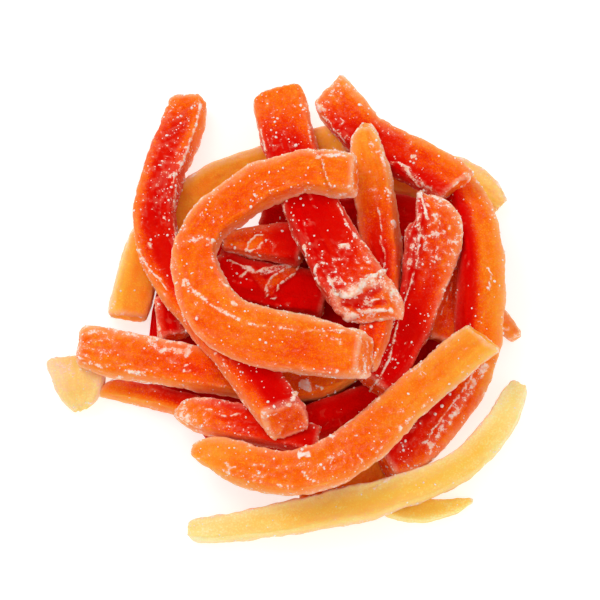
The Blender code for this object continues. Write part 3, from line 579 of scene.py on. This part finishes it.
def seen_at(p):
    """Pixels of the picture where points in mm are seen."""
    sin_e, cos_e = math.sin(VIEW_ELEVATION), math.cos(VIEW_ELEVATION)
    k = PX_PER_MM * VIEW_DISTANCE / (VIEW_DISTANCE + p[:, 1] * cos_e - p[:, 2] * sin_e)
    down = CENTRE_PX[1] - (p[:, 1] * sin_e + p[:, 2] * cos_e) * k
    return np.column_stack([CENTRE_PX[0] + p[:, 0] * k, down])


def from_line(places, line):
    """Distance in pixels from each place to a line through points."""
    line = np.array(line, float)
    best = np.full(len(places), 1e9)
    for a, b in zip(line, line[1:]):
        along = np.clip(((places - a) @ (b - a)) / max((b - a) @ (b - a), 1e-9), 0, 1)
        best = np.minimum(best, np.linalg.norm(places - a - along[:, None] * (b - a), axis=1))
    return best


def to_mesh(bm, name):
    """Ends a bmesh as a mesh."""
    mesh = bpy.data.meshes.new(name)
    bm.to_mesh(mesh)
    bm.free()
    return mesh


def to_scene(data, name):
    """Puts a mesh, lamp or camera in the scene as an object."""
    obj = bpy.data.objects.new(name, data)
    bpy.context.scene.collection.objects.link(obj)
    return obj


def read_vectors(mesh, name):
    """The vectors of a mesh's points, one to a row: their places or normals."""
    values = np.empty(len(mesh.vertices) * 3)
    mesh.vertices.foreach_get(name, values)
    return values.reshape(-1, 3)


def place_points(mesh, points):
    """Moves the points of a mesh and gives its new normals."""
    mesh.vertices.foreach_set("co", points.ravel())
    mesh.update()
    return read_vectors(mesh, "normal")


def keep_on_points(mesh, **layers):
    """Stores values with the points of a mesh, for its material."""
    for key, values in layers.items():
        if values.ndim == 1:
            layer = mesh.attributes.new(key, "FLOAT", "POINT")
            layer.data.foreach_set("value", values.astype(np.float32))
        else:
            layer = mesh.attributes.new(key, "FLOAT_VECTOR", "POINT")
            layer.data.foreach_set("vector", values.astype(np.float32).ravel())


def box_grid(cuts):
    """A closed box from -1 to 1, cut into a grid along each axis."""
    bm = bmesh.new()
    bmesh.ops.create_cube(bm, size=2.0)
    for axis in range(3):
        along = [e for e in bm.edges if abs(e.verts[0].co[axis] - e.verts[1].co[axis]) > 1.9]
        bmesh.ops.subdivide_edges(bm, edges=along, cuts=cuts[axis] - 1, use_grid_fill=True)
    return bm


def curve_frames(stations, roll, length, s):
    """Centre, across, up, width and thickness at each distance s along the spear, mm."""
    pad = 8
    at = np.linspace(0, 1, len(stations))
    cols = np.column_stack([np.interp(np.linspace(0, 1, 400), at, stations[:, k]) for k in range(5)])
    before = cols[0] - (cols[1:pad + 1] - cols[0])[::-1]
    after = cols[-1] + (cols[-1] - cols[-pad - 1:-1])[::-1]
    kernel = np.hanning(2 * pad + 1)
    kernel /= kernel.sum()
    cols = np.column_stack([np.convolve(np.concatenate(c), kernel, mode="valid")
                            for c in zip(before.T, cols.T, after.T)])
    run = np.concatenate([[0], np.cumsum(np.linalg.norm(np.diff(cols[:, :3], axis=0), axis=1))])
    run *= length / run[-1]
    tangent = np.gradient(cols[:, :3], run, axis=0)
    inside = np.clip(s, 0, length)
    c = np.column_stack([np.interp(inside, run, cols[:, k]) for k in range(5)])
    t = np.column_stack([np.interp(inside, run, tangent[:, k]) for k in range(3)])
    t /= np.linalg.norm(t, axis=1)[:, None]
    centre = c[:, :3] + t * (s - inside)[:, None]
    flat = np.cross([0, 0, 1], t)
    flat /= np.linalg.norm(flat, axis=1)[:, None]
    steep = np.cross(t, flat)
    turn = np.interp(inside / length, at, roll)
    turn = (turn + 0.06 * noise_at(np.outer(s, (1, 0, 0)), 16.0, length))[:, None]
    across = flat * np.cos(turn) + steep * np.sin(turn)
    up = steep * np.cos(turn) - flat * np.sin(turn)
    return centre, across, up, c[:, 3], c[:, 4]


def bend_box(name, roll, stations, look, seed):
    """The smooth form of a spear: a fine box, rounded, bent and cut at both ends.

    Gives its mesh and what the relief and the sugar need to know of each point.
    """
    length = float(np.linalg.norm(np.diff(stations[:, :3], axis=0), axis=1).sum())
    wide, thick = stations[:, 3].max(), stations[:, 4].max()
    slices = max(8, int(length / MESH_CELL))
    mesh = to_mesh(box_grid((slices, int(wide / MESH_CELL), int(thick / MESH_CELL))), name)
    co = read_vectors(mesh, "co")
    t, a, b = (co[:, 0] + 1) / 2, co[:, 1], co[:, 2]
    # the box's section becomes a rounded one, squarer in some places than in others
    r = np.maximum(np.abs(a), np.abs(b))
    ua, ub = a / np.where(r > 0, r, 1), b / np.where(r > 0, r, 1)
    corner = np.minimum(np.abs(ua), np.abs(ub))
    # distance along the spear, with slanted and slightly uneven cuts at both ends
    cut = look["cuts"]
    on_cut = np.column_stack([a * wide / 2, b * thick / 2, t * 50])
    rough_cut = CUT_ROUGHNESS[1] * noise_at(on_cut, CUT_ROUGHNESS[0], seed + 0.1)
    start = cut[0] * a - cut[1] * b + rough_cut
    end = length + cut[2] * a + cut[3] * b + rough_cut
    s = (1 - t) * start + t * end
    run = np.outer(s, (1.0, 0, 0))
    power = SQUARENESS + 1.5 * noise_at(run, 13.0, seed + 0.5)
    f = 1.04 / np.maximum(np.abs(ua) ** power + np.abs(ub) ** power, 1e-3) ** (1 / power)
    # the section narrows towards both cut ends
    reach0, narrow0, reach1, narrow1 = look["ends"]
    rounded = np.zeros(len(s))
    for away, reach, narrow in ((s - start, reach0, narrow0), (end - s, reach1, narrow1)):
        near_end = 1 - np.clip(away / reach, 0, 1)
        rounded = np.maximum(rounded, narrow * (1 - np.sqrt(np.clip(1 - near_end ** 2, 0, 1))))
    # wavy corners, and a body that swells and wanders a little
    ridge_run = np.column_stack([s, np.sign(a) * 9, np.sign(b) * 9])
    wave = 1 + CORNER_WAVES[1] * corner ** 2 * noise_at(ridge_run, CORNER_WAVES[0], seed + 0.3)
    swell = 1 + SWELLS[1] * noise_at(run, SWELLS[0], seed + 0.7)
    swell_up = 1 + SWELLS_UP[1] * noise_at(run, SWELLS_UP[0], seed + 0.9)
    wander = WANDER[1] * noise_at(run, WANDER[0], seed + 1.3)
    k = r * f * (1 - rounded) * wave
    centre, across, up, width, tall = curve_frames(stations, roll, length, s)
    out_a = ua * k * (width / 2) * swell + wander
    out_b = ub * k * (tall / 2) * swell_up
    # the faces sink as the flesh dries, and the corners stay up as ridges
    to_cut = np.clip(np.minimum(s - start, end - s), 0, None)
    inner = smooth(to_cut, 0.3, 4.0)
    depth = 0.9 + 0.8 * noise_at(np.column_stack([s, np.sign(b) * 5, a * 2]), 8.0, seed + 1.1)
    hollow_top = HOLLOW_TOP * inner * (1 - ua ** 2).clip(0, 1) ** 1.2 * (np.abs(ub) > 0.999)
    hollow_side = HOLLOW_SIDE * inner * (1 - ub ** 2).clip(0, 1) ** 1.2 * (np.abs(ua) > 0.999)
    out_b -= np.sign(ub) * hollow_top * depth * r
    out_a -= np.sign(ua) * hollow_side * depth * r
    return mesh, SimpleNamespace(
        t=t,                 # share of the length, 0 to 1
        r=r,                 # 0 in the middle of a cut, 1 on the outside
        corner=corner,       # 0 in the middle of a face, 1 on a corner
        to_cut=to_cut,       # distance to the nearer cut, mm
        inner=inner,         # 0 at the cuts, 1 away from them
        ridge_run=ridge_run,  # distance along, and which corner is near
        centre=centre,
        # the spear unbent, its slices, and 1 at its left side to -1 at its right
        along=np.column_stack([s, a * wide / 2, b * thick / 2]),
        slice_number=np.round(t * slices).astype(int),
        side=np.clip(out_a / (width / 2), -1.1, 1.1),
        ahead=np.cross(across, up) * 0.5,
        points=centre + across * out_a[:, None] + up * out_b[:, None])


def relief(skin, look, seed):
    """Height in mm of lumps, creases along the fibres, folds across them and fine grain.

    Keeps what the sugar needs to know: pleat, wrinkle, lump, mid and grain.
    """
    crease = np.abs(noise_at(skin.along * (0.20, 1.0, 1.0), PLEATS[0], seed + 2.2))
    fold = np.abs(noise_at(skin.along * (1.0, 0.30, 0.30), WRINKLES[0], seed + 3.3))
    crease_here = smooth(noise_at(skin.along * (0.5, 1.0, 1.0), 7.0, seed + 3.8), -0.25, 0.3)
    fold_here = smooth(noise_at(skin.along, 8.0, seed + 4.1), 0.0, 0.4)
    skin.lump = noise_at(skin.points, LUMPS[0], seed + 5.2)
    skin.mid = noise_at(skin.points, DIMPLES[0], seed + 6.4)
    skin.grain = noise_at(skin.points, ROUGHNESS[0], seed + 7.7)
    skin.pleat = (0.32 - crease).clip(0, 1) * 2.4 * crease_here * look["creased"]
    skin.wrinkle = (0.30 - fold).clip(0, 1) * 2.6 * fold_here * look["creased"]
    height = LUMPS[1] * skin.lump + DIMPLES[1] * skin.mid + ROUGHNESS[1] * skin.grain
    height = height - PLEATS[1] * skin.pleat - WRINKLES[1] * skin.wrinkle
    return height + CORNER_LIFT * smooth(skin.corner, 0.62, 0.92) * skin.inner


def add_marks(skin, look, seed, normal, height):
    """Height with the folds and lumps that show in the picture, on the side that faces it.

    Keeps where each point is seen, how far it faces the viewer, its sugar and its stain.
    """
    skin.places = seen_at(skin.points)
    skin.facing = smooth(normal @ TO_VIEWER, 0.05, 0.3)
    # the lines waver and break, and the wide flat ones are patchy
    wobble = noise_at(skin.points, 1.1, seed + 9.1)
    breaks = 0.75 + 0.75 * noise_at(skin.points, 1.7, seed + 9.6)
    skin.patches = smooth(noise_at(skin.points, 1.3, seed + 8.6), -0.15, 0.45)
    skin.sugared = np.zeros(len(height))
    for radius, raised, sugar, line in look["marks"]:
        away = (from_line(skin.places, line) + wobble) / breaks.clip(0.3, 1.3)
        if radius > 2.5 and raised < 0.3:
            sugar = sugar * (0.38 + 0.34 * skin.patches)
        height += raised * skin.facing * (1 - smooth(away, 0.2 * radius, 1.7 * radius))
        covered = sugar * skin.facing * (1 - smooth(away, 0.3 * radius, 1.4 * radius))
        skin.sugared = np.maximum(skin.sugared, covered)
    skin.stain = np.zeros(len(height))
    for radius, change, line in look["stains"]:
        away = from_line(skin.places, line) + wobble
        skin.stain += change * skin.facing * (1 - smooth(away, 0.5 * radius, 1.3 * radius))
    return height


def flesh_of(skin, look, seed):
    """Colour of the flesh: 0 pale yellow to deep red near 0.87, then brighter red above as painted light
    for spears in shaded gaps; drifting along the fibres, redder in the pleats as painted shade, and paler
    at the sides as a painted glow.
    """
    # the sides are a little paler: a painted glow of light through the thin edges
    rim = smooth(np.abs(skin.side), 0.80, 0.99)
    drift = 0.5 * noise_at(skin.along * (0.5, 1.0, 1.0), 4.5, seed + 8.1)
    drift = drift + 0.5 * noise_at(skin.along * (0.4, 1.0, 1.0), 1.8, seed + 8.4)
    flesh = spread(look["flesh"], skin.t, skin.side)
    strength = 0.3 + 0.7 * smooth(flesh, 0.15, 0.4)
    # the pleats are redder, a painted shade in the creases; the drift and lumps are the flesh's own tone
    flesh += strength * (0.10 * drift + 0.06 * skin.pleat + 0.03 * skin.lump) - 0.05 * rim
    # a cut shows flesh that is nearer to orange than the red outside
    return flesh + skin.stain + (skin.r < 0.97) * 0.75 * np.minimum(0.46 - flesh, 0)


def distance_from_outline(skin):
    """Distance in pixels from each point to the nearer side of the spear's outline."""
    way = seen_at(skin.centre + skin.ahead) - seen_at(skin.centre - skin.ahead)
    way /= np.linalg.norm(way, axis=1)[:, None]
    off = skin.places - seen_at(skin.centre)
    off = off[:, 0] * way[:, 1] - off[:, 1] * way[:, 0]
    number = skin.slice_number
    high, low = np.full(number.max() + 1, -1e9), np.full(number.max() + 1, 1e9)
    np.maximum.at(high, number, off)
    np.minimum.at(low, number, off)
    return np.minimum(high[number] - off, off - low[number])


def sugar_of(skin, look, seed, normal, flesh):
    """Frost, the white sugar in grains, and the thin peach film under it, 0 to 1. The film and the pale
    line along the outline are partly painted rim light.
    """
    # along the corners, broken into crests, and in patches on the faces
    ridge = smooth(skin.corner, 0.60, 0.95)
    crest = smooth(skin.mid + 0.8 * skin.grain, -0.1, 0.6)
    left, faces, right = np.array(look["frost"], float).T
    at_ridge = spread(np.column_stack([left, 0.5 * (left + right), right]), skin.t, skin.side)
    broken = smooth(noise_at(skin.ridge_run * (1, 0.3, 0.3), 4.0, seed + 8.8), -0.3, 0.35)
    frost = 1.15 * at_ridge * ridge * (0.25 + 0.75 * broken) * (0.45 + 0.55 * crest)
    on_faces = np.interp(skin.t, np.linspace(0, 1, len(faces)), faces)
    frost = np.maximum(frost, on_faces * (0.25 + 0.95 * skin.patches))
    # a pale line where the spear's outline runs as the camera sees it, with the film reaching in from it:
    # partly sugar, partly a painted rim glow of thin edges seen edge-on
    from_edge = distance_from_outline(skin)
    towards = smooth(normal @ TO_VIEWER, -0.5, -0.2)
    outline = (1 - smooth(from_edge, 0.6, 2.4)) * towards
    frost = np.maximum(frost, (0.40 + 0.35 * at_ridge) * outline * (0.6 + 0.4 * crest))
    rime = 0.75 * (1 - smooth(from_edge, 0.8, 3.4))
    rime = rime + 0.45 * (1 - smooth(from_edge, 2.0, look["reach"]))
    rime *= look["rime"] * (0.12 + at_ridge) * towards * (0.65 + 0.35 * crest)
    # in the deepest pleats and wrinkles
    folded = smooth(np.maximum(skin.pleat, skin.wrinkle), 0.18, 0.5)
    folded = folded * smooth(skin.grain + skin.mid, -0.2, 0.4)
    frost = np.maximum(frost, (0.26 + 0.30 * at_ridge) * folded * skin.facing)
    # on the cut faces, most at their rims
    cut_edge = (0.30 + 0.40 * smooth(skin.r, 0.75, 0.98)) * (0.5 + 0.5 * crest)
    frost = np.maximum(frost, cut_edge * smooth(1.0 - skin.to_cut, 0.0, 0.8))
    cut_rime = 0.6 * smooth(skin.r, 0.7, 0.98) * smooth(1.6 - skin.to_cut, 0.0, 1.2)
    rime = np.maximum(rime, cut_rime)
    # the film shows less on pale flesh and on deep red flesh
    rime *= (0.4 + 0.6 * smooth(flesh, 0.08, 0.25)) * (1 - 0.55 * smooth(flesh, 0.58, 0.80))
    return np.maximum(frost, skin.sugared), rime


def make_spear(name, roll, stations, look, seed):
    """One finished spear, with its points, normals and frost for the loose grains."""
    mesh, skin = bend_box(name, roll, stations, look, seed)
    normal = place_points(mesh, skin.points)
    height = add_marks(skin, look, seed, normal, relief(skin, look, seed))
    points = skin.points + normal * height[:, None]
    points[:, 2] = np.maximum(points[:, 2], LOWEST)
    normal = place_points(mesh, points * MM)
    flesh = flesh_of(skin, look, seed)
    frost, rime = sugar_of(skin, look, seed, normal, flesh)
    # the film keeps the painted rim light along the outline, as well as the sugar film
    keep_on_points(mesh, flesh=np.clip(flesh, 0, 1), frost=np.clip(frost, 0, 1),
                   rime=np.clip(rime, 0, 1), fibre=skin.along * MM)
    mesh.shade_smooth()
    return to_scene(mesh, "spear_" + name), points, normal, frost


def linear(hex_colour):
    """Linear colour of an sRGB hex value."""
    out = []
    for i in (1, 3, 5):
        c = int(hex_colour[i:i + 2], 16) / 255
        out.append(c / 12.92 if c <= 0.04045 else ((c + 0.055) / 1.055) ** 2.4)
    return (*out, 1.0)


def set_inputs(node, inputs):
    """Sets inputs of a node, each to a value or to another node's output."""
    for key, value in inputs.items():
        if isinstance(value, bpy.types.NodeSocket):
            node.id_data.links.new(value, node.inputs[key])
        else:
            node.inputs[key].default_value = value


def add_node(tree, kind, inputs=None, **fields):
    """Adds a node with its settings and links."""
    node = tree.nodes.new(kind)
    for key, value in fields.items():
        setattr(node, key, value)
    set_inputs(node, inputs or {})
    return node


def new_material(name):
    """A material, its node tree and its shader."""
    material = bpy.data.materials.new(name)
    material.use_nodes = True
    return material, material.node_tree, material.node_tree.nodes["Principled BSDF"]


def set_ramp(node, stops):
    """Sets the stops of a colour ramp, each a place and a hex colour."""
    ramp = node.color_ramp
    while len(ramp.elements) > 1:
        ramp.elements.remove(ramp.elements[-1])
    ramp.elements[0].position = stops[0][0]
    ramp.elements[0].color = linear(stops[0][1])
    for place, colour in stops[1:]:
        ramp.elements.new(place).color = linear(colour)


# Scales of the patterns, for Object coordinates in metres.
SPECKS = 2300.0        # 0.4 mm
CLUMPS = 850.0         # 1.2 mm
BLOTCHES = 480.0       # 2 mm
FIBRES = (350.0, 1000.0, 1000.0)    # 3 mm along and 1 mm across


def flesh_colour(tree, place):
    """Pale yellow through orange to deep red, then a brighter red at the top that is painted light for
    spears in shaded gaps, mottled along the fibres.

    Faint fibres 1 mm apart, blotches of 2 mm, and specks of 0.4 mm between orange and red.
    Gives the colour, and how mottled the flesh is at that colour.
    """
    fibre = add_node(tree, "ShaderNodeAttribute", attribute_name="fibre").outputs["Vector"]
    flesh = add_node(tree, "ShaderNodeAttribute", attribute_name="flesh").outputs["Fac"]
    stretch = add_node(tree, "ShaderNodeMapping", {"Vector": fibre, "Scale": FIBRES})
    fibres = add_node(tree, "ShaderNodeTexNoise",
                      {"Vector": stretch.outputs[0], "Scale": 1.0, "Detail": 1.0})
    blotch = add_node(tree, "ShaderNodeTexNoise",
                      {"Vector": place, "Scale": BLOTCHES, "Detail": 2.0})
    fine = add_node(tree, "ShaderNodeTexNoise", {"Vector": place, "Scale": SPECKS, "Detail": 0.5})
    much = add_node(tree, "ShaderNodeValToRGB", {"Fac": flesh})
    set_ramp(much, [(0.0, "#686868"), (0.25, "#707070"), (0.42, "#A0A0A0"), (0.6, "#BCBCBC"),
                    (0.8, "#303030"), (1.0, "#202020")])
    mixed = fine.outputs["Fac"]
    for pattern, share in ((fibres, 0.3), (blotch, 0.5)):
        mixed = add_node(tree, "ShaderNodeMath", {0: pattern.outputs["Fac"], 1: share, 2: mixed},
                         operation="MULTIPLY_ADD").outputs[0]
    mixed = add_node(tree, "ShaderNodeMath", {0: mixed, 1: 0.87}, operation="SUBTRACT")
    mixed = add_node(tree, "ShaderNodeMath", {0: mixed.outputs[0], 1: 0.07}, operation="MINIMUM")
    tone = add_node(tree, "ShaderNodeMath", {0: mixed.outputs[0], 1: much.outputs["Color"], 2: flesh},
                    operation="MULTIPLY_ADD")
    # the stops above 0.87 turn brighter red again: painted light for the spears down in the gaps
    ramp = add_node(tree, "ShaderNodeValToRGB", {"Fac": tone.outputs[0]})
    set_ramp(ramp, [(0.0, "#FFF4BC"), (0.06, "#FFE692"), (0.14, "#FFCC56"), (0.22, "#FFB33C"),
                    (0.32, "#FF962A"), (0.42, "#FF7A12"), (0.52, "#FA5C06"), (0.62, "#F03C03"),
                    (0.72, "#E61C01"), (0.82, "#DC0600"), (0.87, "#D60000"), (0.95, "#F00000")])
    return ramp.outputs["Color"], much.outputs["Color"]


def sugar_on(tree, place, flesh_tone, mottled):
    """Dried sugar over the flesh: white grains over a thin peach film, which along the outline is partly
    painted rim light.

    Crystals of 0.2 mm are drawn in grains of 0.4 mm, which close up where there is more.
    Gives the colour, and the roughness that the bump is made from.
    """
    frost = add_node(tree, "ShaderNodeAttribute", attribute_name="frost").outputs["Fac"]
    rime = add_node(tree, "ShaderNodeAttribute", attribute_name="rime").outputs["Fac"]
    crystals = add_node(tree, "ShaderNodeTexNoise", {"Vector": place, "Scale": SPECKS, "Detail": 1.0})
    clump = add_node(tree, "ShaderNodeTexNoise", {"Vector": place, "Scale": CLUMPS, "Detail": 2.0})
    rough = add_node(tree, "ShaderNodeMix",
                     {0: 0.4, 2: crystals.outputs["Fac"], 3: clump.outputs["Fac"]}).outputs[0]
    cover = add_node(tree, "ShaderNodeMath", {0: frost, 1: 0.6, 2: rough},
                     operation="MULTIPLY_ADD").outputs[0]
    # the grains and how white they are, then the film: with the frost, in flecks where the
    # flesh is mottled, and uneven along the outline, where it is partly painted rim light
    sockets = ("Value", "From Min", "From Max", "To Min", "To Max")
    grains, white, veil, flecks, uneven = (
        add_node(tree, "ShaderNodeMapRange", dict(zip(sockets, values))).outputs[0]
        for values in ((cover, 0.80, 0.87, 0.0, 1.0), (frost, 0.25, 0.85, 0.5, 0.94),
                       (frost, 0.15, 0.9, 0.0, 0.28), (rough, 0.53, 0.63, 0.0, 0.29),
                       (rough, 0.40, 0.60, 0.42, 0.9)))
    crust = add_node(tree, "ShaderNodeMath", {0: grains, 1: white}, operation="MULTIPLY")
    rimed = add_node(tree, "ShaderNodeMath", {0: rime, 1: uneven, 2: veil}, operation="MULTIPLY_ADD")
    film = add_node(tree, "ShaderNodeMath", {0: flecks, 1: mottled, 2: rimed.outputs[0]},
                    operation="MULTIPLY_ADD", use_clamp=True)
    crystal_colour = add_node(tree, "ShaderNodeValToRGB", {"Fac": clump.outputs["Fac"]})
    set_ramp(crystal_colour, [(0.38, "#FFBE9E"), (0.62, "#FFEFE4")])
    filmed = add_node(tree, "ShaderNodeMix", {0: film.outputs[0], 6: flesh_tone, 7: linear("#FFCAA6")},
                      data_type="RGBA")
    colour = add_node(tree, "ShaderNodeMix", {0: crust.outputs[0], 6: filmed.outputs[2],
                                              7: crystal_colour.outputs["Color"]}, data_type="RGBA")
    return colour.outputs[2], rough


def papaya_material():
    """Candied papaya: sugar-soaked flesh, translucent and dull, with sugar dried on it."""
    material, tree, shader = new_material("candied_papaya_sugared")
    place = add_node(tree, "ShaderNodeTexCoord").outputs["Object"]
    colour, rough = sugar_on(tree, place, *flesh_colour(tree, place))
    bump = add_node(tree, "ShaderNodeBump", {"Height": rough, "Strength": 0.7, "Distance": 0.0003})
    # red light goes 1.6 mm into the flesh, and the rest much less
    set_inputs(shader, {
        "Base Color": colour, "Normal": bump.outputs["Normal"], "Roughness": 0.55, "IOR": 1.45,
        "Specular IOR Level": 0.03, "Specular Tint": linear("#FFC8A0"), "Subsurface Weight": 0.35,
        "Subsurface Radius": (1.0, 0.30, 0.12), "Subsurface Scale": 0.0016})
    return material


papaya = papaya_material()
surfaces = []
for seed, (name, roll, stations, look) in enumerate(lay_spears(), 1):
    spear, points, normals, sugar = make_spear(name, roll, stations, look, seed)
    spear.data.materials.append(papaya)
    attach(spear, "root")
    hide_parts("papaya_heap")
    surfaces.append((points, normals, sugar, look["specks"]))

# The inner mass: the dark spears pressed together inside the heap, seen only through its
# gaps. A flat-based mound of the same flesh, extruded ring by ring and roughened.
CORE_FLOOR = 0.0005    # what lies under this height stays flat, m
CORE_BUMPS = 0.0008    # depth of its bumps, m
CORE_FLESH = 0.87      # deep red
CORE_FROST = 0.02


def place_key(co):
    """A number of its own for each place in the inner mass."""
    return co.x + 7.1 * co.y + 53.3 * co.z


bm = bmesh.new()
bmesh.ops.create_circle(bm, cap_ends=True, segments=len(CORE_OUTLINE), radius=1.0)
bm.verts.ensure_lookup_table()
for vert, (x, y) in zip(bm.verts, CORE_OUTLINE):
    vert.co = (x * MM, y * MM, 0.0)
face = bm.faces[:][0]
for (z0, k0), (z1, k1) in zip(CORE_RINGS, CORE_RINGS[1:]):
    made = bmesh.ops.extrude_face_region(bm, geom=[face])["geom"]
    verts = [g for g in made if isinstance(g, bmesh.types.BMVert)]
    bmesh.ops.scale(bm, verts=verts, vec=(k1 / k0, k1 / k0, 1.0))
    bmesh.ops.translate(bm, verts=verts, vec=(0, 0, (z1 - z0) * MM))
    face = next(g for g in made if isinstance(g, bmesh.types.BMFace))
bmesh.ops.triangulate(bm, faces=bm.faces[:])
bmesh.ops.subdivide_edges(bm, edges=bm.edges[:], cuts=5, use_grid_fill=True)
# to the nearest 0.1 micron and in one order, so that each run gives the same mesh
for vert in bm.verts:
    vert.co = [round(c, 7) + 0.0 for c in vert.co]
bm.verts.sort(key=lambda vert: place_key(vert.co))
bm.faces.sort(key=lambda face: place_key(face.calc_center_median()))
for vert in bm.verts:
    if vert.co.z > CORE_FLOOR:
        rough_z = vert.co.z + CORE_BUMPS * noise.noise(vert.co * 220) - CORE_BUMPS
        vert.co.z = max(CORE_FLOOR, rough_z)
bmesh.ops.recalc_face_normals(bm, faces=bm.faces[:])
mesh = to_mesh(bm, "heap_core")
inside = np.ones(len(mesh.vertices))
keep_on_points(mesh, flesh=CORE_FLESH * inside, frost=CORE_FROST * inside, rime=0 * inside,
               fibre=read_vectors(mesh, "co"))
mesh.shade_smooth()
mesh.materials.append(papaya)
core = to_scene(mesh, "heap_core")
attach(core, "root")
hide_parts("papaya_heap")

# Sugar grains: loose white crystals stuck to the spears, thickest on their ridges. Each is
# a small flat uneven ball with few faces, all in one mesh.
POINTS_A_GRAIN = 80    # points of a spear's mesh for each of its grains
GRAIN_LEAST = 0.11     # radius, mm
GRAIN_MOST = 0.46
GRAIN_ABOVE = 0.8      # no grain is stuck under this height over the table, mm

rng = np.random.default_rng(7)
bm = bmesh.new()
for points, normals, sugar, specks in surfaces:
    clusters = smooth(noise_at(points, 5.0, 3.0), -0.1, 0.5)
    can_hold = (normals[:, 2] > -0.1) & (points[:, 2] > GRAIN_ABOVE)
    weight = np.where(can_hold, 0.05 + 0.4 * clusters + 1.4 * sugar ** 1.5, 0.0)
    weight /= weight.sum()
    count = int(len(points) / POINTS_A_GRAIN * specks)
    for i in rng.choice(len(points), size=count, replace=False, p=weight):
        size = min(GRAIN_MOST, GRAIN_LEAST + rng.gamma(1.1, 0.08))
        tilt = Vector(normals[i]).to_track_quat("Z", "Y").to_matrix().to_4x4()
        lean, spin = rng.uniform(-0.4, 0.4, 2), rng.uniform(0, 6.28)
        turned = Euler((*lean, spin)).to_matrix().to_4x4()
        wide = size * rng.uniform(0.75, 1.3, 2) * MM
        thick = size * rng.uniform(0.35, 0.7) * MM
        shape = Matrix.Diagonal((*wide, thick, 1.0))
        at = Matrix.Translation(Vector((points[i] + normals[i] * size * 0.15) * MM))
        bmesh.ops.create_icosphere(bm, subdivisions=1, radius=1.0, matrix=at @ tilt @ turned @ shape)
mesh = to_mesh(bm, "sugar_grains")
mesh.shade_smooth()
# Crystal sugar: clear grains that look white, slightly warm from the flesh under them.
sugar_material, tree, shader = new_material("white_sugar_crystals")
place = add_node(tree, "ShaderNodeTexCoord").outputs["Object"]
cloud = add_node(tree, "ShaderNodeTexNoise", {"Vector": place, "Scale": 900.0, "Detail": 1.0})
tint = add_node(tree, "ShaderNodeValToRGB", {"Fac": cloud.outputs["Fac"]})
set_ramp(tint, [(0.3, "#FFDAC8"), (0.6, "#FFF8F2")])
set_inputs(shader, {
    "Base Color": tint.outputs["Color"], "Roughness": 0.45, "IOR": 1.54, "Subsurface Weight": 0.4,
    "Subsurface Radius": (0.6, 0.5, 0.5), "Subsurface Scale": 0.0005})
mesh.materials.append(sugar_material)
grains = to_scene(mesh, "sugar_grains")
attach(grains, "root")
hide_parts("papaya_heap")

# The stage: a plain white floor under soft light, seen from above as in the picture.
# The floor is matt white card that glows a little, which keeps the shadows faint.
FLOOR_REACH = 1.5      # from the middle to the edge, m
FLOOR_GLOW = 0.68
DAYLIGHT = 0.78
LAMPS = [("key", (-0.35, 0.30, 0.75), 0.4, 1.8), ("fill", (0.45, -0.35, 0.6), 0.5, 0.6)]
HEAP_MIDDLE = Vector((0, 0, 0.01))
SENSOR = 36.0          # width of the camera's sensor, mm
PHOTO_PX = 600         # width of the picture

bm = bmesh.new()
bmesh.ops.create_grid(bm, x_segments=1, y_segments=1, size=FLOOR_REACH)
mesh = to_mesh(bm, "floor")
floor_material, _, shader = new_material("white_card_floor")
set_inputs(shader, {
    "Base Color": (0.5, 0.5, 0.5, 1.0), "Roughness": 0.9,
    "Emission Color": (1.0, 0.98, 0.95, 1.0), "Emission Strength": FLOOR_GLOW})
mesh.materials.append(floor_material)
floor = to_scene(mesh, "floor")

world = bpy.data.worlds.new("studio")
world.use_nodes = True
set_inputs(world.node_tree.nodes["Background"], {"Color": (1.0, 1.0, 1.0, 1.0), "Strength": DAYLIGHT})
bpy.context.scene.world = world
for name, place, size, watts in LAMPS:
    lamp = bpy.data.lights.new(name, "AREA")
    lamp.shape = "DISK"
    lamp.size = size
    lamp.energy = watts
    stand = to_scene(lamp, name)
    stand.location = place
    stand.rotation_euler = (HEAP_MIDDLE - Vector(place)).to_track_quat("-Z", "Y").to_euler()

lens = bpy.data.cameras.new("camera")
lens.sensor_width = SENSOR
lens.lens = SENSOR * VIEW_DISTANCE * PX_PER_MM / PHOTO_PX
camera = to_scene(lens, "camera")
distance = VIEW_DISTANCE * MM
camera.location = (0, -distance * math.cos(VIEW_ELEVATION), distance * math.sin(VIEW_ELEVATION))
camera.rotation_euler = (math.pi / 2 - VIEW_ELEVATION, 0, 0)
bpy.context.scene.camera = camera
bpy.context.scene.view_settings.view_transform = "Standard"
